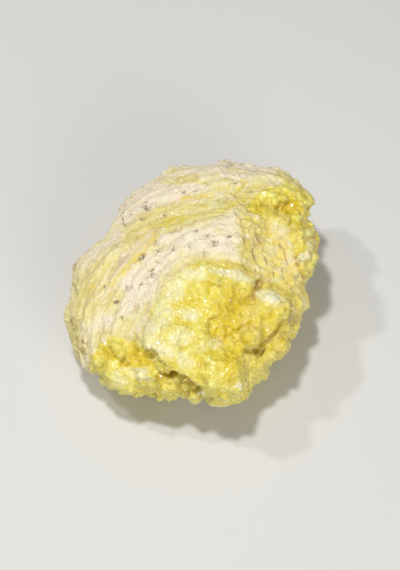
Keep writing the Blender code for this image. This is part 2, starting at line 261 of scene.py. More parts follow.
# Lines, each with its half width.
VEINS = [
    ([(150, 226), (166, 226), (182, 220), (200, 213), (222, 208), (243, 202), (256, 195)], 1.6),
    ([(106, 287), (118, 278), (128, 268), (138, 255), (148, 244), (157, 238), (153, 229)], 3.4),
    ([(178, 199), (190, 197), (205, 197), (216, 195)], 2.2),
    ([(206, 262), (225, 263), (240, 267), (252, 273), (262, 280)], 2.6),
    ([(222, 196), (238, 190), (250, 182)], 1.2),
]
# Brown lines: cracks in the rock, and painted shade on a facet wall turned from the light (the first) and
# in the crevice beside the right-hand lobe (the ninth).
BROWN_AND_SHADE_STREAKS = [
    ([(262, 279), (258, 288), (253, 296), (250, 304)], 3.4), ([(255, 234), (257, 240), (259, 245)], 1.2),
    ([(249, 242), (253, 254), (258, 267)], 1.1), ([(271, 266), (274, 278)], 1.1),
    ([(277, 244), (284, 252), (288, 266)], 1.2), ([(264, 256), (267, 268)], 0.9),
    ([(244, 235), (246, 246)], 0.9), ([(294, 256), (299, 268), (304, 278)], 1.4),
    ([(290, 296), (291, 308), (289, 321)], 1.4), ([(75, 262), (76, 273)], 1.3),
    ([(73, 280), (79, 294), (84, 299)], 1.2), ([(72, 318), (74, 332)], 1.2),
    ([(75, 334), (82, 340), (88, 344)], 1.3), ([(78, 344), (86, 355)], 1.4),
    ([(127, 209), (123, 216), (123, 225), (128, 229)], 0.9), ([(133, 214), (131, 224)], 0.8),
    ([(246, 258), (252, 262), (256, 272)], 0.9), ([(281, 268), (284, 280)], 0.8),
]
AMBER_SPOTS = [
    (232, 305, 17, 15), (222, 330, 13, 16), (240, 322, 14, 12), (262, 330, 18, 14, -30),
    (142, 357, 15, 9, 10), (110, 352, 10, 8), (290, 208, 14, 8), (256, 206, 8, 7), (232, 364, 13, 18, 10),
    (281, 345, 13, 8, -45),
]
CHALK_SPOTS = [
    (269, 297, 11, 6, 5), (303, 258, 6, 6, 20), (122, 371, 12, 2, -12), (238, 386, 5, 3),
    (201, 392, 3, 2, 40), (226, 403, 3, 2),
]
FROST_SPOTS = [
    (193, 316, 3, 5, -20), (174, 311, 5, 4), (150, 326, 9, 6), (230, 274, 20, 3, 14), (196, 270, 12, 4, -5),
    (163, 352, 7, 5, 20), (216, 340, 6, 5), (200, 346, 5, 4), (140, 372, 5, 3), (206, 212, 10, 2, -15),
    (258, 284, 4, 3), (291, 290, 4, 3),
]
# Single beads: the middle and the radius.
BEADS = [
    (271, 213, 5.5), (264, 209, 3), (283, 213, 4), (291, 207, 4.5), (297, 211, 4), (288, 218, 4),
    (279, 218, 3), (276, 204, 3.5), (301, 205, 3), (294, 216, 3), (303, 212, 3), (259, 203, 3),
    (300, 228, 4), (308, 233, 4), (314, 242, 4), (309, 250, 4), (316, 258, 4), (312, 268, 4), (305, 274, 4),
    (298, 238, 3), (118, 349, 6), (130, 353, 5), (249, 338, 8), (225, 322, 5), (236, 327, 4), (229, 340, 4),
]
# Where the crystals are coarse, and not fine as sugar.
COARSE_SPOTS = [
    (284, 348, 24, 13, -45), (150, 392, 62, 15, 5), (308, 246, 12, 28), (284, 206, 30, 17),
    (118, 362, 22, 18), (228, 400, 26, 12), (232, 362, 10, 14),
]
BEAD_SPOTS = [
    (284, 210, 18, 12), (306, 238, 10, 22), (122, 350, 18, 9), (226, 330, 12, 16), (146, 358, 10, 8),
    (262, 336, 16, 8, -35),
]
PALE_SPOTS = [
    (150, 330, 11, 11), (190, 314, 9, 7), (216, 340, 9, 7), (162, 350, 12, 9, 30), (234, 275, 26, 5, 14),
    (190, 276, 16, 6), (180, 338, 12, 9), (200, 208, 40, 5, -15), (278, 224, 12, 6, 20), (309, 246, 5, 15),
    (272, 298, 12, 7, 10), (184, 360, 12, 7, 30), (138, 372, 10, 5, -10), (164, 312, 9, 16),
    (174, 290, 10, 14, 30), (150, 342, 14, 10), (138, 379, 14, 3, 10), (117, 381, 9, 5, 25),
]
YELLOWED_SPOTS = [
    (260, 236, 21, 34), (266, 268, 24, 18, 20), (290, 286, 14, 28, -15), (300, 318, 8, 24),
    (87, 298, 18, 36, 12), (76, 334, 10, 26, -10), (102, 266, 20, 10, -40), (138, 232, 24, 9, -45),
    (160, 212, 26, 6, -20), (186, 181, 24, 5), (222, 186, 16, 6, -10), (192, 267, 22, 5, -20),
    (178, 226, 24, 5, -20), (125, 326, 12, 10), (286, 178, 14, 8, 30), (112, 300, 8, 14, 30),
]
GOLDEN_SPOTS = [
    (246, 226, 5, 18, -5), (262, 232, 8, 9, 30), (254, 256, 6, 9, 20), (276, 268, 8, 10, -10),
    (289, 286, 8, 13), (266, 216, 12, 5), (298, 310, 6, 14), (240, 186, 8, 3, -40), (88, 288, 5, 10, 20),
    (99, 282, 8, 4, -40), (150, 232, 5, 8, 30), (170, 168, 6, 3),
]
PITS = [
    (157, 245, 2.4, 1.8, 60), (142, 257, 3, 2, -40), (157, 262, 1.4, 1.2), (152, 275, 2.6, 1.6, -30),
    (128, 288, 2.6, 1.6, -40), (116, 302, 1.8, 1.2, -20), (122, 318, 1.6, 1.6), (104, 287, 2, 1.1, -40),
    (142, 284, 1.6, 1.1), (206, 235, 1.8, 1.1, -20), (214, 243, 3.2, 2, -20), (173, 248, 1.2, 1.9),
    (190, 245, 1.2, 2), (206, 255, 2.2, 1.3, -50), (145, 205, 1.6, 2.4, 10), (142, 218, 2, 1.4),
    (150, 270, 2.4, 1, -20), (148, 208, 1.8, 1.2), (158, 250, 1.2, 1.6), (196, 190, 2, 1.1, -30),
    (184, 193, 1.3, 1.1), (206, 184, 2, 1.4), (236, 184, 1.4, 1.2), (252, 191, 1.6, 1.1),
    (230, 236, 1.6, 1.2, -30), (165, 215, 1.7, 1.2), (197, 230, 1.6, 0.9, -30),
]
# Lines, each with its half width and its depth in millimetres.
CLEFTS = [
    ([(96, 294), (120, 272), (137, 259), (146, 248), (156, 239), (153, 229), (166, 226), (182, 220),
     (200, 213), (222, 209), (243, 203), (256, 196)], 1.3, 0.8),
    ([(178, 200), (205, 198), (222, 196), (240, 192), (250, 182), (262, 178)], 1.2, 0.5),
    ([(212, 262), (225, 265), (240, 269), (258, 279)], 1.2, 0.5),
    ([(261, 279), (256, 291), (250, 306)], 3.4, 1), ([(207, 327), (212, 319), (226, 317)], 1.8, 0.8),
    ([(156, 379), (165, 377), (174, 375), (183, 378), (190, 383), (197, 389), (200, 396)], 2.4, 3),
    ([(148, 355), (157, 362), (166, 367), (175, 371)], 1.2, 0.8),
    ([(243, 350), (250, 353), (257, 351), (264, 344), (271, 337), (278, 330), (291, 318)], 1.7, 1.7),
    ([(292, 292), (290, 318)], 1.4, 0.7), ([(293, 240), (295, 256), (302, 274)], 1.7, 1.2),
]
# Each drop lowers the surface on the right of its line, by the millimetres and over the width given.
DROPS = [
    ([(243, 347), (250, 350), (256, 348), (262, 342), (268, 336), (275, 330), (279, 325),
     (289, 317)], 1.8, 6), ([(258, 396), (249, 384), (243, 364), (246, 348)], 0.6, 8),
    ([(150, 364), (161, 373), (174, 373), (190, 381), (201, 391)], 2, 10),
    ([(138, 347), (153, 349), (161, 361), (173, 369)], 0.7, 7),
    ([(212, 342), (207, 328), (212, 319), (226, 317)], 0.9, 8),
]
# Swellings that bring a slope forward: the spot and the height in millimetres.
SWELLS = [
    ((276, 351, 26, 9, -43), 1.4), ((150, 384, 24, 9, 15), 1), ((112, 378, 14, 9, 30), 0.8),
]
SMOOTH_SPOTS = [
    (274, 322, 20, 27, 35), (200, 290, 24, 12, 10), (249, 338, 9, 9), (122, 350, 8, 7),
    (269, 297, 12, 7, 5),
]
# Rounded crystals: the middle and the radius.
KNOBS = [
    (271, 213, 6), (283, 209, 5), (292, 206, 5), (298, 212, 5), (285, 219, 6), (276, 202, 5), (262, 208, 5),
    (256, 200, 5), (303, 258, 7), (308, 245, 7), (313, 234, 6), (300, 232, 6), (306, 270, 6), (315, 256, 5),
    (298, 222, 5), (249, 337, 10), (262, 335, 8), (276, 322, 8), (285, 306, 8), (268, 299, 10),
    (262, 312, 8), (224, 322, 7), (236, 327, 6), (229, 341, 6), (222, 353, 6), (240, 359, 7), (232, 371, 8),
    (255, 366, 6), (268, 353, 6), (281, 345, 6), (291, 331, 7), (150, 334, 11), (162, 324, 8),
    (178, 331, 9), (200, 331, 10), (194, 347, 10), (174, 352, 9), (160, 353, 8), (207, 357, 9),
    (182, 368, 8), (214, 386, 10), (236, 386, 9), (201, 393, 4), (224, 401, 7), (122, 350, 7),
    (113, 345, 5), (108, 356, 5), (143, 357, 7), (128, 361, 5), (150, 371, 8), (139, 379, 6), (165, 376, 6),
    (119, 385, 6), (134, 389, 6), (150, 387, 6), (166, 389, 6), (181, 393, 6), (191, 397, 5), (108, 371, 6),
    (184, 308, 9), (200, 290, 10), (178, 295, 9), (215, 280, 8),
]
FOLD = [(226, 206), (237, 222), (241, 243), (241, 264)]
FOLD_LEFT = 222  # the flank lies to the right of it
FOLD_TOP = (206, 218)

# Patterns: the height, the shift and the size of each noise, in millimetres unless another unit is given

BORDER_BENDS = ((3.2, 0, 6), (1.6, 90, 2.3))  # heights in pixels
BACK_PATCHES = ((1, 40, 21), (0.4, 0, 7), (0.2, 0, 2.5))
VEIN_GAPS = ((1, 8, 1.5), (0.5, 0, 0.8))
FIBRE_BENDS = ((2.4, 0, 9), (1.0, 55, 3.1))
# Sizes across the fibres, along them and out of the face.
STRANDS = ((0.22, 0, (1.1, 4, 3)), (0.14, 31, (0.7, 2.4, 2)))
STREAKS = ((1, 17, (1.5, 4, 3)), (0.6, 47, (0.8, 2.2, 2)))
WRINKLE = (1.8, 5, 3)
FINE_WRINKLE = (1.0, 3, 2)
ROCK_LUMPS = ((0.48, 0, 3.6), (0.32, 0, 1.5), (0.18, 3, 0.8))
SUGAR = ((0.42, 0, 1.5), (0.22, 7, 0.95))
BLOCKS = ((0.9, 0, 5.2), (0.7, 23, 2.7))

GRAIN_PIXEL = np.array((239, 336))  # the fibres run round it
GRAIN_MIDDLE = (GRAIN_PIXEL - FACE_PIXEL) * MM_PER_PIXEL * (1, -1)
GRAIN_SEAM = math.radians(60)
MM_PER_RADIAN = 36
DOME_LEAN = 0.6
FLANK_LEAN = 0.3
FLANK_SHIFT = 70


class Lump:
    """Points on the lump, with everything that their relief and colours are worked out from."""

    def __init__(self, points, normals):
        self.points = points
        self.normals = normals
        self.pixels = seen_at(points)
        self.front = ramp(dot(normals, unit(EYE - points)), -0.15, 0.2)
        self.front *= ramp(points[:, 2], 1.0, 6.0)
        self.face = (points - FACE_CENTRE) @ FACE_AXES.T
        self.wobble = self.pixels + waves(vectors, points, BORDER_BENDS)[:, :2]
        self.half_wobble = (self.wobble + self.pixels) / 2

    def spots(self, spots, edge):
        """1 in the spots, with wavy borders blurred over `edge`."""
        share = np.max([soft(oval(self.wobble, *spot), edge) for spot in spots], axis=0)
        return share * self.front

    def strokes(self, strokes):
        """1 along the lines, each with its half width in pixels."""
        share = np.zeros(len(self.points))
        for line, half_width in strokes:
            distance, along = from_line(self.half_wobble, line)
            band = ramp(-np.abs(distance), -1.9 * half_width, -0.3 * half_width)
            share = np.maximum(share, tapered(along, 0.08) * band)
        return share * self.front

    def crystals(self):
        """1 on the yellow crystals and 0 on the rock, and 1 on the yellow-stained rock beside them."""
        border = np.max([inside(self.wobble, outline) for outline in CRYSTAL_OUTLINES], axis=0)
        border += 3 * noise(self.points + 7, 3.2)
        behind = waves(noise, self.points, BACK_PATCHES)
        crystals = ramp(border, -2, 2) * self.front
        crystals += ramp(behind, 0.0, 0.12) * ramp(1 - self.front, 0.4, 1.0)
        stain = ramp(border + 5 * noise(self.points, 5), -15, 0) * self.front
        stain += ramp(behind, -0.3, 0.0) * (1 - self.front)
        return crystals, stain

    def fold_side(self, blur=1.5):
        """1 on the right flank, past the fold, where the fibres turn downward."""
        distance, _ = from_line(self.wobble, FOLD)
        past = ramp(distance, -blur, blur) * (self.pixels[:, 0] > FOLD_LEFT)
        return past * ramp(self.pixels[:, 1], *FOLD_TOP) * self.front

    def fibre_frames(self):
        """Places across the fibres, along them and out of the face, round the dome and past the fold."""
        bend = waves(vectors, self.points, FIBRE_BENDS)
        right, upslope, outward = self.face.T
        u, v = (self.face[:, :2] - GRAIN_MIDDLE).T
        turned = np.mod(np.arctan2(v, u) + GRAIN_SEAM, 2 * math.pi)
        around = np.column_stack((np.hypot(u, v) - DOME_LEAN * outward, turned * MM_PER_RADIAN, outward))
        flank = np.column_stack((right + FLANK_LEAN * upslope, upslope, outward))
        return around + bend, flank + bend + FLANK_SHIFT

    def fibre_direction(self):
        """The way the fibres run, in the surface."""
        away = unit(self.face[:, :2] - GRAIN_MIDDLE)
        around = away[:, :1] * RIGHT + away[:, 1:] * UPSLOPE - DOME_LEAN * OUTWARD
        flank = RIGHT + FLANK_LEAN * UPSLOPE
        flip = self.fold_side()[:, None]
        return unit(np.cross(self.normals, (1 - flip) * around + flip * flank))


# Relief of the lump in millimetres: first its forms, then its fine surface

FORM_FACE = 0.55
SKIN_FACE = 0.40
SOLID_SMOOTHING = 4  # rounds
LEDGE_SMOOTHING = 24
LEDGE_REACH = 9  # pixels
LEDGE_BLUR = 1.3  # pixels
KNOB_RISE = 0.28  # of a knob's radius
BEAD_RISE = 0.55
BEAD_CURVE = 0.8
HIDDEN_KNOB = 5.2
HIDDEN_RISE = 0.8
DEEP_CLEFT = 1.5  # no crystals stand in a deeper one
LAYER_RISE = 0.82  # of a layer's width; the rest is its broken edge
WIDE_LAYER = 5.1
THIN_LAYER = 2.2
CRUMB = 2.6
PORE_CLUSTER = 1.8  # times the size given
PORE_SHADE = 0.35
PORE_DEPTH = 0.8
CREASE_DEPTHS = (0.0, 0.08)  # left alone, and filled
CREASE_SMOOTHING = 5
# The creases and hollows found with these rounds and depths get painted shade, and the crests get painted
# highlights.
CREASE_LOOK = (8, 0.22)  # rounds and depth
HOLLOW_LOOK = (60, 0.9)


def layers(across, along, spacing):
    """Shingled layers: each rises slowly across the fibres and then breaks off."""
    warp = np.column_stack((across / 3, along, 0 * along))
    position = across / spacing + 0.9 * noise(warp, 6)
    step = position - np.floor(position)
    return np.where(step < LAYER_RISE, step / LAYER_RISE, (1 - step) / (1 - LAYER_RISE)) - 0.5


def beads(lump):
    """Height of the rounded glassy beads that are placed one by one."""
    return bulges(lump.pixels, BEADS, BEAD_CURVE) * lump.front


def beside_ledges(lump):
    """1 beside the ledges, whose risers are smooth."""
    share = np.zeros(len(lump.points))
    for line, *_ in DROPS:
        distance, _ = from_line(lump.pixels, line)
        share = np.maximum(share, ramp(-np.abs(distance), -LEDGE_REACH, -LEDGE_REACH / 2))
    return share * lump.front


def knob_relief(lump, crystals):
    """Height of the rounded crystals: placed one by one in front, and packed cells behind."""
    knobs = np.maximum(KNOB_RISE * bulges(lump.wobble, KNOBS), BEAD_RISE * beads(lump))
    hidden = (1 - lump.front) * crystals * HIDDEN_RISE * knob_cells(lump.points, HIDDEN_KNOB)
    return knobs * lump.front * crystals * (1 - 0.7 * beside_ledges(lump)) + hidden


def drop_depth(lump, line, drop, width):
    """How far the ground lies lower on the right of a ledge."""
    distance, along = from_line(lump.wobble, line)
    low_side = ramp(-distance, -LEDGE_BLUR, LEDGE_BLUR) * ramp(distance, -width, 0)
    return drop * tapered(along, 0.15) * low_side * lump.front


def cleft_depth(lump, line, half_width, depth):
    """How deep a cleft is; the shallow ones come and go."""
    distance, along = from_line(lump.half_wobble, line)
    broken = 1 if depth > DEEP_CLEFT else ramp(noise(lump.points, 3.5), -0.9, 0.1)
    return depth * tapered(along, 0.12) * broken * np.exp(-((distance / half_width) ** 2)) * lump.front


def form_relief(lump):
    """How far knobs, swellings, ledges and clefts stand out of the solid."""
    crystals, _ = lump.crystals()
    height = knob_relief(lump, crystals)
    for drop in DROPS:
        height -= drop_depth(lump, *drop)
    for spot, rise in SWELLS:
        height += rise * dome(oval(lump.pixels, *spot)) * lump.front
    for cleft in CLEFTS:
        height -= cleft_depth(lump, *cleft)
    return height


def deep_clefts(lump):
    """1 at the bottom of the deep clefts."""
    share = np.zeros(len(lump.points))
    for line, half_width, depth in CLEFTS:
        if depth > DEEP_CLEFT:
            distance, _ = from_line(lump.pixels, line)
            share = np.maximum(share, np.exp(-((distance / (1.6 * half_width)) ** 2)))
    return share * lump.front


def grooves(fibre, size, width):
    """1 in thin wavy grooves that run along the fibres."""
    return ramp(-np.abs(noise(fibre, size)), -width, 0)


def rock_relief(lump):
    """Height of the pale rock, its grooves, and the streaks that tint it."""
    points = lump.points
    height = groove = streak = 0
    flip = lump.fold_side()
    patchy = ramp(noise(points, 9), -0.5, 0.4)
    broken = ramp(noise(points + 33, 7), -0.6, 0.3)
    for fibre, share in zip(lump.fibre_frames(), (1 - flip, flip)):
        across, along, _ = fibre.T
        wrinkle = np.maximum(grooves(fibre, WRINKLE, 0.15), patchy * grooves(fibre + 9, FINE_WRINKLE, 0.18))
        step = 0.34 * broken * layers(across, along, WIDE_LAYER)
        step += 0.2 * patchy * layers(across + 13, along, THIN_LAYER)
        height += share * (step + waves(ridges, fibre, STRANDS) - 0.24 * wrinkle)
        groove += share * wrinkle
        streak += share * waves(noise, fibre, STREAKS)
    height += flip * 0.5 * crystal_cells(points + 0.5 * vectors(points, 2), CRUMB)
    height += waves(noise, points, ROCK_LUMPS)
    height += 0.26 * ridges(points + 0.8 * vectors(points, 3), 2.1)
    return height, groove, streak


def pores(lump):
    """Up to 1 in the small curled pores of the rock, which lie in clusters."""
    share = np.zeros(len(lump.points))
    for pit in PITS:
        share = np.maximum(share, soft(oval(lump.pixels, *pit) / PORE_CLUSTER, 0.5))
    clusters = ramp(noise(lump.points + 12, 7), 0.45, 0.7) * (1 - lump.front)
    share = np.maximum(share * lump.front, clusters)
    bent = lump.points + 0.6 * vectors(lump.points, 1.4)
    curls = ramp(ridges(bent, 1.1) + 0.1 * noise(lump.points, 0.7), 0.30, 0.44)
    return share * (PORE_SHADE + (1 - PORE_SHADE) * curls)


def crystal_relief(lump, coarse, gloss):
    """Packed crystals with flat faces: fine as sugar on the masses and coarser where `coarse` is 1."""
    points = lump.points
    sugar = waves(crystal_cells, points, SUGAR) - 0.2
    blocks = waves(crystal_cells, points + 0.8 * vectors(points, 3.0), BLOCKS) - 0.5
    packed = 0.35 * noise(points + 60, 4.5) + sugar + (0.2 + 0.7 * coarse) * blocks
    return (1 - gloss) * packed + gloss * 0.3 * sugar


# Meshes


def values_of(items, name, parts=1, kind=np.float32):
    """One property of all of a mesh's items, as rows where it has several parts."""
    values = np.empty(len(items) * parts, kind)
    items.foreach_get(name, values)
    return values.reshape(-1, parts) if parts > 1 else values


def arrays_of(mesh):
    """A mesh's points and normals in millimetres."""
    points = values_of(mesh.vertices, "co", 3).astype(float) / MM
    return points, values_of(mesh.vertex_normals, "vector", 3).astype(float)


def corners_of(mesh):
    return values_of(mesh.loops, "vertex_index", kind=np.int32)


def edges_of(mesh):
    return values_of(mesh.edges, "vertices", 2, np.int32)


def set_points(mesh, points):
    mesh.vertices.foreach_set("co", (points * MM).astype(np.float32).ravel())
    mesh.update()


def store(mesh, name, values):
    """Puts one number per point in a named attribute."""
    attribute = mesh.attributes.new(name, "FLOAT", "POINT")
    attribute.data.foreach_set("value", values.astype(np.float32))


def even_faces(mesh, size, smoothing=0):
    """The same closed form on even square faces of the size given."""
    rough = bpy.data.objects.new("rough_form", mesh)
    link(rough)
    even = rough.modifiers.new("even_faces", "REMESH")
    even.mode = "VOXEL"
    even.voxel_size = size * MM
    if smoothing:
        smooth = rough.modifiers.new("smooth_facets", "SMOOTH")
        smooth.factor = 0.5
        smooth.iterations = smoothing
    bpy.context.view_layer.update()
    evaluated = rough.evaluated_get(bpy.context.evaluated_depsgraph_get())
    result = bpy.data.meshes.new_from_object(evaluated)
    bpy.data.objects.remove(rough)
    return result


def welded_solid():
    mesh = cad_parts[NODE].data.copy()
    welded = bmesh.new()
    welded.from_mesh(mesh)
    bmesh.ops.remove_doubles(welded, verts=welded.verts, dist=1e-6)
    welded.to_mesh(mesh)
    welded.free()
    return mesh


def smoothed(mesh, points, rounds):
    """A mesh's points after moving halfway to their neighbours' middle a number of times."""
    edges = edges_of(mesh)
    first, second = edges.T
    count = np.bincount(edges.ravel(), minlength=len(points))[:, None]
    for _ in range(rounds):
        total = np.column_stack([
            np.bincount(first, points[second, axis], len(points))
            + np.bincount(second, points[first, axis], len(points))
            for axis in range(3)
        ])
        points = 0.5 * points + 0.5 * total / count
    return points


def hollowness(mesh, points, normals, rounds, depth):
    """About 1 in hollows and -1 on crests that are `depth` deep or high."""
    return np.clip(dot(smoothed(mesh, points, rounds) - points, normals) / depth, -2, 2)


def fill_creases(mesh, points, normals):
    """The points with the narrow creases part filled, as fine sugar and dust fill them."""
    level = smoothed(mesh, points, CREASE_SMOOTHING)
    share = ramp(dot(level - points, normals), *CREASE_DEPTHS)[:, None]
    return points + share * (level - points)


def shaped_form():
    """The solid with smooth ledges, and with its knobs, swellings, ledges and clefts."""
    form = even_faces(welded_solid(), FORM_FACE, SOLID_SMOOTHING)
    points, normals = arrays_of(form)
    near = beside_ledges(Lump(points, normals))[:, None]
    set_points(form, points + near * (smoothed(form, points, LEDGE_SMOOTHING) - points))
    points, normals = arrays_of(form)
    height = ramp(points[:, 2], 0.2, 1.5) * form_relief(Lump(points, normals))
    set_points(form, points + height[:, None] * normals)
    return form


def golden_veins(lump):
    """1 in the yellow veins and the golden stains of the rock."""
    points = lump.points
    vein = 0.9 * lump.strokes(VEINS) * ramp(waves(noise, points, VEIN_GAPS), -1.1, 0.3)
    golden = lump.spots(GOLDEN_SPOTS, 0.6) * ramp(noise(points, 1.6), -0.4, 0.5)
    flank = lump.fold_side(6) * ramp(noise(points + 21, 2.6), -0.2, 0.35)
    return np.maximum(vein, 0.8 * np.maximum(golden, flank))


def looks_of(lump):
    """The numbers that each point's fine relief and colours come from."""
    crystals, stain = lump.crystals()
    hidden = 1 - lump.front
    hidden_amber = hidden * crystals * ramp(noise(lump.points, 13), 0, 0.5)
    amber = np.maximum(lump.spots(AMBER_SPOTS, 0.5), hidden_amber)
    smooth = np.maximum(0.75 * lump.spots(SMOOTH_SPOTS, 0.4), ramp(beads(lump), 0.05, 0.5))
    return {
        "crystals": crystals,
        "vein": golden_veins(lump),
        "brown_and_shade": lump.strokes(BROWN_AND_SHADE_STREAKS),
        # Brown cracks, and painted shade on a facet wall and in a crevice.
        "amber": amber,
        "coarse": np.maximum(amber, lump.spots(COARSE_SPOTS, 0.4) + hidden),
        "gloss": smooth * crystals,
        # Bottoms of the deep clefts: kept free of crystals and given painted shade.
        "bare_shaded_cleft": deep_clefts(lump),
        "chalk": np.maximum(lump.spots(CHALK_SPOTS, 0.3), 0.5 * lump.spots(FROST_SPOTS, 0.6)),
        "pale": lump.spots(PALE_SPOTS, 0.5),
        "yellowed": np.maximum(lump.spots(YELLOWED_SPOTS, 0.6), stain),
        "pore": pores(lump) * (1 - crystals),
    }


def skin_relief(lump, looks):
    """Height of the fine relief. Adds the rock's grooves and streaks to the looks."""
    rock, looks["groove"], looks["streak"] = rock_relief(lump)
    crystals = looks["crystals"]
    height = crystals * crystal_relief(lump, looks["coarse"], looks["gloss"])
    height += (1 - crystals) * (rock - PORE_DEPTH * looks["pore"])
    return ramp(lump.points[:, 2], 0.2, 1.2) * (1 - 0.8 * looks["bare_shaded_cleft"]) * height


def make_surface():
    """The whole fine surface as one mesh, with the attributes that its colours come from."""
    skin = even_faces(shaped_form(), SKIN_FACE)
    lump = Lump(*arrays_of(skin))
    looks = looks_of(lump)
    set_points(skin, lump.points + skin_relief(lump, looks)[:, None] * lump.normals)
    points = fill_creases(skin, *arrays_of(skin))
    points[:, 2] = np.maximum(points[:, 2], 0)
    set_points(skin, points)
    points, normals = arrays_of(skin)
    looks["coarse"] = np.clip(looks["coarse"], 0, 1)
    looks["brown_and_shade"] = looks["brown_and_shade"] * ramp(noise(points, 1.2), -0.7, 0.2)
    # Painted shade in the creases and painted highlights on the crests come from this.
    looks["crease_shade_crest_light"] = hollowness(skin, points, normals, *CREASE_LOOK)
    # Painted shade in the broad hollows comes from this.
    looks["hollow"] = hollowness(skin, points, normals, *HOLLOW_LOOK)
    for name, values in looks.items():
        store(skin, name, values)
    return skin, Lump(points, normals), looks


def part_of(mesh, quads, name, normals):
    """Some of a mesh's faces as a piece, shaded as they were in the whole."""
    used, quads = np.unique(quads, return_inverse=True)
    points, _ = arrays_of(mesh)
    piece = bpy.data.meshes.new(name)
    piece.from_pydata(points[used] * MM, [], quads.reshape(-1, 4).tolist())
    piece.shade_smooth()
    for attribute in mesh.attributes:
        if attribute.data_type == "FLOAT" and attribute.domain == "POINT":
            store(piece, attribute.name, values_of(attribute.data, "value")[used])
    piece.normals_split_custom_set_from_vertices(normals[used].tolist())
    return bpy.data.objects.new(name, piece)


def make_skins():
    """The fine surface in pieces that meet edge to edge: pale rock, and crystals in front and behind."""
    skin, lump, looks = make_surface()
    quads = corners_of(skin).reshape(-1, 4)
    yellow = looks["crystals"][quads].mean(axis=1) > 0.5
    shown = lump.front[quads].mean(axis=1) > 0.5
    kinds = {"pale_rock": ~yellow, "crystal_mass": yellow & shown, "crystal_crust": yellow & ~shown}
    pieces = [part_of(skin, quads[keep], name, lump.normals) for name, keep in kinds.items()]
    return pieces, lump, looks


# Crystals, beads and splinters as separate small forms

SIZE_SPREAD = 0.5  # sizes differ by up to this power of e either way
GROUND_GAP = 0.02  # millimetres that the small forms stay above the base
# How far each kind's middle lies above the ground, as a share of its size.
GRAIN_LIFT = -0.15
BEAD_LIFT = -0.45
SPLINTER_LIFT = 0.02
BEAD_DETAIL = 3
BEAD_LUMP = 1.2
SPLINTER_LENGTH = 0.75  # millimetres from the middle to a tip
SPLINTER_SPACING = 1.6
FOOT = (1, 3)  # heights between which the strewn pieces begin
# How far apart a kind of crystals lie, how wide they are and how softly they are shaded
SUGAR_GRAIN = (0.8, 0.36, 0.8)
COARSE_CRYSTAL = (1.8, 0.8, 0.5)
BEAD_SPACING = 2.2
BEAD_RADIUS = 0.6


def spread(lump, chance, spacing):
    """Indices of points about one `spacing` apart, kept where chance beats a random number."""
    order = RANDOM.permutation(len(lump.points))
    cell = np.floor(lump.points[order] / spacing).astype(int)
    _, first = np.unique(cell, axis=0, return_index=True)
    chosen = order[np.sort(first)]
    return chosen[RANDOM.random(len(chosen)) < chance[chosen]]


def varied(size, count):
    """A column of sizes about the one given."""
    return size * np.exp(SIZE_SPREAD * RANDOM.uniform(-1, 1, (count, 1)))


def frames_about(axis, spin_from=None):
    """Turning matrices whose third axis is `axis`; the first follows spin_from or is random."""
    axis = unit(axis)
    side = RANDOM.normal(size=axis.shape) if spin_from is None else spin_from
    side = unit(side - dot(side, axis)[:, None] * axis)
    return np.stack((side, np.cross(axis, side), axis), axis=2)


def ring(count):
    """Each place on a ring with the place after it."""
    return [(i, (i + 1) % count) for i in range(count)]


def double_pyramid(shoulder=0.55, tip=0.8):
    """A sulfur crystal: a steep double pyramid on a rhombus, with blunter ends past its shoulders."""
    rhombus = np.array([(0.43, 0, 0), (0, 0.53, 0), (-0.43, 0, 0), (0, -0.53, 0)])
    rings = [rhombus * (1 - abs(level)) + (0, 0, level) for level in (-shoulder, 0, shoulder)]
    points = np.vstack(rings + [np.array([(0, 0, -tip), (0, 0, tip)])])
    faces = []
    for low in (0, 4):
        for i, j in ring(4):
            faces += [(low + i, low + j, low + 4 + j), (low + i, low + 4 + j, low + 4 + i)]
    for i, j in ring(4):
        faces += [(12, j, i), (13, 8 + i, 8 + j)]
    return points, np.array(faces)


def plain_pyramid():
    """The same crystal with sharp tips, for the finest grains."""
    points = np.array([(0.5, 0, 0), (0, 0.6, 0), (-0.5, 0, 0), (0, -0.6, 0), (0, 0, -0.9), (0, 0, 0.9)])
    faces = [face for i, j in ring(4) for face in ((i, j, 5), (j, i, 4))]
    return points, np.array(faces)


def splinter():
    """A thin sliver of rock, long in its first axis and thin in its third."""
    points = np.array([(-1, 0, 0), (-0.45, 0.24, 0), (0.5, 0.2, 0.02), (1, 0.02, 0.06), (0.4, -0.22, 0),
                       (-0.5, -0.2, 0), (0.1, 0.02, 0.16), (0.0, 0, -0.16)])
    faces = [face for i, j in ring(6) for face in ((j, i, 6), (i, j, 7))]
    return points, np.array(faces)


def bead():
    """A round bead's points and triangles."""
    ball = bmesh.new()
    bmesh.ops.create_icosphere(ball, subdivisions=BEAD_DETAIL, radius=1)
    points = np.array([corner.co[:] for corner in ball.verts])
    faces = np.array([[corner.index for corner in face.verts] for face in ball.faces])
    ball.free()
    return points, faces


def soften(mesh, ground, share):
    """Turns the shading normals of strewn forms part of the way to the ground they grow on."""
    facing = values_of(mesh.corner_normals, "vector", 3)
    turned = (1 - share) * facing + share * ground[corners_of(mesh)]
    mesh.normals_split_custom_set(unit(turned).tolist())


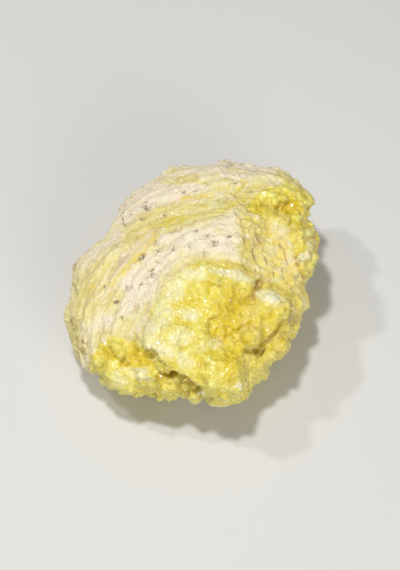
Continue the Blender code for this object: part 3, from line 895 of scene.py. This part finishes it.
def strew(name, form, lump, looks, chosen, turns, scales, lift, smooth=False, rough=0.0, softness=0.5):
    """One mesh of copies of a form on the chosen points, each with its own turn, size, looks and tint."""
    template, faces = form
    count = len(chosen)
    normals = lump.normals[chosen]
    places = lump.points[chosen] + lift * scales[:, :1] * normals
    points = np.einsum("nij,npj->npi", turns, template[None] * scales[:, None, :]) + places[:, None]
    points = points.reshape(-1, 3)
    if rough:
        away = np.einsum("nij,pj->npi", turns, template).reshape(-1, 3)
        points += rough * noise(points, BEAD_LUMP)[:, None] * away
    points[:, 2] = np.maximum(points[:, 2], GROUND_GAP)
    all_faces = (faces[None] + len(template) * np.arange(count)[:, None, None]).reshape(-1, 3)
    mesh = bpy.data.meshes.new(name)
    mesh.from_pydata(points * MM, [], all_faces.tolist())
    if smooth:
        mesh.shade_smooth()
    for look, values in looks.items():
        store(mesh, look, np.repeat(values[chosen], len(template)))
    store(mesh, "tint", np.repeat(RANDOM.uniform(-1, 1, count), len(template)))
    soften(mesh, np.repeat(normals, len(template), axis=0), softness)
    return bpy.data.objects.new(name, mesh)


def make_grains(name, form, lump, looks, chance, spacing, size, softness):
    """Crystals of about one size, strewn where chance is high and half sunk in the mass."""
    chosen = spread(lump, chance, spacing)
    count = len(chosen)
    axis = unit(RANDOM.normal(size=(count, 3))) + 0.5 * lump.normals[chosen]
    scales = varied(size, count)
    scales = scales * RANDOM.uniform(0.85, 1.15, (count, 3))
    turns = frames_about(axis)
    return strew(name, form, lump, looks, chosen, turns, scales, GRAIN_LIFT, softness=softness)


def make_splinters(lump, looks):
    """Slivers that lift off the rock along its fibres."""
    chance = (1 - looks["crystals"]) * ramp(noise(lump.points + 5, 6), -0.5, 0.5)
    chance *= ramp(lump.points[:, 2], *FOOT)
    chosen = spread(lump, 0.5 * chance, SPLINTER_SPACING)
    count = len(chosen)
    run = lump.fibre_direction()[chosen]
    run = run + 0.25 * RANDOM.normal(size=run.shape)
    axis = lump.normals[chosen] + 0.18 * RANDOM.normal(size=run.shape)
    length = varied(SPLINTER_LENGTH, count)
    width = RANDOM.uniform(0.7, 1.3, count)
    thickness = RANDOM.uniform(0.8, 1.4, count)
    scales = length * np.column_stack((np.ones(count), width, thickness))
    turns = frames_about(axis, run)
    return strew("rock_splinters", splinter(), lump, looks, chosen, turns, scales, SPLINTER_LIFT)


def make_beads(lump, looks):
    """Small rounded glassy beads in the hollows, on the right-hand bulge and behind."""
    chance = looks["crystals"] * (lump.spots(BEAD_SPOTS, 0.5) + (1 - lump.front) * looks["amber"])
    chosen = spread(lump, 0.4 * chance * (1 - looks["gloss"]), BEAD_SPACING)
    scales = varied(BEAD_RADIUS, len(chosen))
    scales = scales * RANDOM.uniform(0.9, 1.1, (len(chosen), 3))
    turns = frames_about(lump.normals[chosen])
    return strew("crystal_beads", bead(), lump, looks, chosen, turns, scales, BEAD_LIFT,
                 smooth=True, rough=0.3, softness=0.2)


def make_crystals(lump, looks):
    """The separate crystals and beads on the yellow parts, clear of the foot."""
    chance = looks["crystals"] * ramp(lump.points[:, 2], *FOOT) * (1 - looks["bare_shaded_cleft"])
    coarse_chance = chance * (0.08 + 0.25 * looks["amber"] + 0.3 * looks["coarse"])
    return [
        make_grains("sugar_grains", plain_pyramid(), lump, looks, 0.6 * chance, *SUGAR_GRAIN),
        make_grains("coarse_crystals", double_pyramid(), lump, looks, coarse_chance, *COARSE_CRYSTAL),
        make_beads(lump, looks),
    ]


# Materials


def linear(red, green, blue):
    """A colour given as 0 to 255 screen values, for a shader."""
    values = [channel / 255 for channel in (red, green, blue)]
    return [v / 12.92 if v <= 0.04045 else ((v + 0.055) / 1.055) ** 2.4 for v in values] + [1.0]


CREAM = linear(240, 230, 204)
CREAM_PINK = linear(234, 218, 197)
CREAM_YELLOW = linear(231, 220, 146)
OCHRE = linear(212, 190, 120)
PALE_YELLOW = linear(240, 233, 172)
# White of frosted crystals, also used for painted glints.
FROST_AND_GLINT = linear(249, 242, 180)
LEMON = linear(238, 227, 112)
GOLD = linear(229, 209, 64)
VEIN_GOLD = linear(234, 213, 106)
AMBER = linear(230, 205, 44)
DEEP_GOLD = linear(207, 177, 38)
SHADE_GOLD = linear(186, 156, 26)
CHALK = linear(252, 244, 216)
# Painted shade on the facet wall and in the crevice where they cross the crystals.
SHADE_TAN = linear(196, 164, 84)
BROWN = linear(176, 148, 106)
DARK_PORE = linear(140, 124, 108)
FLOOR = (0.7, 0.7, 0.69, 1)

STONE_IOR = 1.5
SHINE = 0.25  # half of what a shader has by itself, as dust dulls the faces
COAT = 1.0
COAT_ROUGHNESS = 0.12
COAT_FACES = 1300  # small cells to the metre, like the scales of the noises below
COAT_TILT = 0.9
SKIN_FACES = 1500
ROCK_TILT = 0.2
CRYSTAL_TILT = 0.3
PATCHES = 95
DOTS = 420
SPECKS = 1400
BLOTCHES = 180
SPECKLE = 900
FINE_GRAIN = 1800
BUMP_DEPTH = 0.0004
BUMP_STRENGTH = 0.6
GLOW = 0.55
GLOW_REACH = 0.0006
GLOW_TINT = (1.0, 1.0, 0.3)  # how far red, green and blue spread, as shares of the reach


class Shader:
    """Short calls for building one node material."""

    def __init__(self, name):
        self.material = bpy.data.materials.new(name)
        self.material.use_nodes = True
        self.tree = self.material.node_tree
        self.surface = self.tree.nodes["Principled BSDF"]

    def fill(self, node, inputs):
        """Gives inputs their values, or links them to other nodes or the attributes named."""
        for key, value in inputs.items():
            if isinstance(value, str):
                value = self.node("Attribute", "Fac", {}, attribute_name=value)
            if isinstance(value, bpy.types.NodeSocket):
                self.tree.links.new(value, node.inputs[key])
            else:
                node.inputs[key].default_value = value

    def node(self, kind, output, inputs, **settings):
        """One output of a new node."""
        node = self.tree.nodes.new("ShaderNode" + kind)
        for name, value in settings.items():
            setattr(node, name, value)
        self.fill(node, inputs)
        return node.outputs[output]

    def pattern(self, kind, output, **inputs):
        """A pattern that stays in place on the object."""
        inputs["Vector"] = self.node("TexCoord", "Object", {})
        return self.node(kind, output, inputs)

    def noise(self, scale, detail=3.0, rough=0.55):
        return self.pattern("TexNoise", "Fac", Scale=scale, Detail=detail, Roughness=rough)

    def ramp(self, value, low, high, end=1.0, start=0.0):
        """A smooth curve from `start` at low to `end` at high."""
        inputs = {"Value": value, "From Min": low, "From Max": high, "To Min": start, "To Max": end}
        return self.node("MapRange", "Result", inputs, interpolation_type="SMOOTHSTEP")

    def times(self, first, second):
        return self.node("Math", 0, {0: first, 1: second}, operation="MULTIPLY")

    def mix(self, share, first, second):
        return self.node("Mix", 2, {0: share, 6: first, 7: second}, data_type="RGBA")

    def layered(self, color, layers):
        """A colour with others over it in turn, each after its share, or after a value's ramp."""
        for *share, over in layers:
            color = self.mix(share[0] if len(share) == 1 else self.ramp(*share), color, over)
        return color

    def facets(self, scale, tilt):
        """The surface's normal, tilted another way in each small cell, as fine crystals' faces are."""
        cells = self.pattern("TexVoronoi", "Color", Scale=scale)
        lean = self.node("VectorMath", 0, {0: cells, 1: (0.5, 0.5, 0.5)}, operation="SUBTRACT")
        level = self.node("NewGeometry", "Normal", {})
        inputs = {0: lean, 1: (tilt, tilt, tilt), 2: level}
        tilted = self.node("VectorMath", 0, inputs, operation="MULTIPLY_ADD")
        return self.node("VectorMath", 0, {0: tilted}, operation="NORMALIZE")

    def bump(self, height, below):
        inputs = {"Height": height, "Distance": BUMP_DEPTH, "Strength": BUMP_STRENGTH, "Normal": below}
        return self.node("Bump", "Normal", inputs)


def rock_colour(shader):
    """Cream rock in soft pink and lemon patches, brown in its grooves and cracks, with painted shade in its
    creases and painted highlights on its crests.
    """
    dots = shader.ramp(shader.noise(DOTS, 2), 0.25, 0.5)
    return shader.layered(CREAM, [
        ("streak", 0.0, 0.8, 0.8, CREAM_PINK),
        (shader.noise(PATCHES), 0.50, 0.66, 0.6, CREAM_YELLOW),
        (shader.times("yellowed", dots), CREAM_YELLOW),
        (shader.times("yellowed", shader.ramp("streak", -0.1, 0.6, 0.5)), OCHRE),
        ("groove", 0.2, 1.0, 0.35, BROWN),
        # Painted shade: ochre in the creases.
        ("crease_shade_crest_light", 0.3, 1.3, 0.5, OCHRE),
        ("vein", VEIN_GOLD),
        # Painted highlight: white on the crests.
        ("crease_shade_crest_light", -0.3, -1.2, 0.4, CHALK),
        # Brown cracks, partly painted shade on a facet wall and in a crevice.
        ("brown_and_shade", 0.1, 0.9, 0.75, BROWN),
        (shader.noise(SPECKS, 2, 0.6), 0.5, 0.75, 0.35, BROWN),
        ("pore", 0.1, 0.9, 0.9, DARK_PORE),
    ])


def crystal_colour(shader):
    """Lemon and golden sulfur: painted highlights on its crests, painted shade in deep gold in its creases,
    hollows and deep clefts and in tan on a shaded facet wall, and white specks that are partly frost and
    partly painted glints.
    """
    blotches = shader.noise(BLOTCHES, 3, 0.6)
    speckle = shader.noise(SPECKLE, 2, 0.6)
    pale = shader.times("pale", shader.ramp(blotches, 0.2, 0.45))
    amber = shader.times("amber", shader.ramp(blotches, 0.15, 0.45))
    # White specks: frost, and painted glints where the faces would catch the light.
    frosted = shader.times(shader.ramp(speckle, 0.54, 0.68), shader.ramp("amber", 0, 1, 0.2, 0.5))
    chalk = shader.times("chalk", shader.ramp(speckle, 0.38, 0.56))
    return shader.layered(LEMON, [
        (blotches, 0.36, 0.64, GOLD),
        (pale, PALE_YELLOW),
        (amber, AMBER),
        # Painted shade: deep gold in the broad hollows.
        ("hollow", 0.1, 1.2, 0.6, DEEP_GOLD),
        # Painted shade: deep gold in the creases.
        ("crease_shade_crest_light", 0.1, 1.0, 0.6, DEEP_GOLD),
        # Painted highlight: pale yellow on the crests.
        ("crease_shade_crest_light", -0.2, -1.2, 0.4, PALE_YELLOW),
        ("vein", VEIN_GOLD),
        # Painted glints and frost: white specks.
        (frosted, FROST_AND_GLINT),
        (speckle, 0.45, 0.30, 0.3, DEEP_GOLD),
        # Painted shade at the bottom of the deep clefts.
        ("bare_shaded_cleft", 0.1, 0.8, 0.7, SHADE_GOLD),
        # Painted shade: tan on the facet wall and in the crevice.
        ("brown_and_shade", 0.1, 0.9, 0.85, SHADE_TAN),
        (chalk, CHALK),
    ])


def finish_stone(shader, color, roughness):
    inputs = {"Base Color": color, "Roughness": roughness, "IOR": STONE_IOR, "Specular IOR Level": SHINE}
    shader.fill(shader.surface, inputs)
    return shader.material


def sparkle(shader):
    """Tiny flat crystal faces under a clear coat, each of which catches the light on its own."""
    faces = shader.facets(COAT_FACES, COAT_TILT)
    coat = {"Weight": COAT, "Roughness": COAT_ROUGHNESS, "IOR": STONE_IOR, "Normal": faces}
    shader.fill(shader.surface, {"Coat " + name: value for name, value in coat.items()})


def skin_material(name, glow, tilt):
    """Rock and crystals by the attribute of that name, with light that spreads under the surface."""
    shader = Shader(name)
    yellow = shader.ramp("crystals", 0.3, 0.7)
    color = shader.mix(yellow, rock_colour(shader), crystal_colour(shader))
    bumps = shader.bump(shader.noise(FINE_GRAIN), shader.facets(SKIN_FACES, tilt))
    shader.fill(shader.surface, {
        "Normal": bumps,
        "Subsurface Weight": glow,
        "Subsurface Radius": GLOW_TINT,
        "Subsurface Scale": GLOW_REACH,
    })
    if glow:
        sparkle(shader)
    frosted = shader.ramp("crystals", 0.2, 0.8, 0.6, 0.85)
    return finish_stone(shader, color, shader.times(frosted, shader.ramp("gloss", 0, 0.8, 0.65, 1.0)))


def grain_material():
    shader = Shader("sulfur_grains")
    color = shader.layered(crystal_colour(shader), [
        ("tint", 0.2, 1.0, 0.3, PALE_YELLOW),
        ("tint", -0.4, -1.0, 0.2, GOLD),
    ])
    sparkle(shader)
    return finish_stone(shader, color, shader.ramp("tint", -1, 1, 0.6, 0.3))


def splinter_material():
    shader = Shader("rock_slivers")
    color = shader.layered(rock_colour(shader), [
        ("tint", 0.2, 1.0, 0.6, CHALK),
        ("tint", -0.5, -1.0, 0.5, CREAM_YELLOW),
    ])
    return finish_stone(shader, color, 0.75)


def floor_material():
    shader = Shader("pale_floor")
    shader.fill(shader.surface, {"Base Color": FLOOR, "Roughness": 0.9})
    return shader.material


def add_piece(piece, material):
    link(piece)
    piece.data.materials.clear()
    piece.data.materials.append(material)
    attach(piece, BODY)


# Stage

LIGHT_DISTANCE = 0.9
# Round soft lights: the way to each as right, up the slope and out of the face, its width and its watts.
LIGHTS = {
    "key": ((-0.14, 0.48, 0.86), 0.09, 4.2),
    "second": ((-0.55, 0.56, 0.62), 0.06, 1.5),
    "fill": ((0.42, -0.45, 0.80), 0.6, 3.1),
}
ROOM_COLOR = (1, 0.97, 0.9, 1)
ROOM_STRENGTH = 0.27


def make_floor():
    bpy.ops.mesh.primitive_plane_add(size=4, location=(0, 0, -0.0001))
    floor = bpy.context.object
    floor.name = "floor"
    floor.data.materials.append(floor_material())


def area_light(name, direction, size, power):
    data = bpy.data.lights.new(name, "AREA")
    data.shape = "DISK"
    data.size = size
    data.energy = power
    light = bpy.data.objects.new(name, data)
    away = Vector(np.array(direction) @ FACE_AXES).normalized()
    light.location = Vector(FACE_CENTRE) * MM + LIGHT_DISTANCE * away
    light.rotation_euler = away.to_track_quat("Z", "Y").to_euler()
    link(light)


def make_room():
    world = bpy.data.worlds.new("soft_room")
    world.use_nodes = True
    background = world.node_tree.nodes["Background"].inputs
    background["Color"].default_value = ROOM_COLOR
    background["Strength"].default_value = ROOM_STRENGTH
    bpy.context.scene.world = world
    bpy.context.scene.view_settings.view_transform = "Standard"


def main():
    make_camera()
    for name, light in LIGHTS.items():
        area_light(name, *light)
    make_room()
    make_floor()
    skins, lump, looks = make_skins()
    grain_look = grain_material()
    rock_look = skin_material("rock", 0.0, ROCK_TILT)
    sulfur_look = skin_material("sulfur", GLOW, CRYSTAL_TILT)
    for skin, look in zip(skins, (rock_look, sulfur_look, sulfur_look)):
        add_piece(skin, look)
        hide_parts(NODE)
    for piece in make_crystals(lump, looks):
        add_piece(piece, grain_look)
    add_piece(make_splinters(lump, looks), splinter_material())


main()
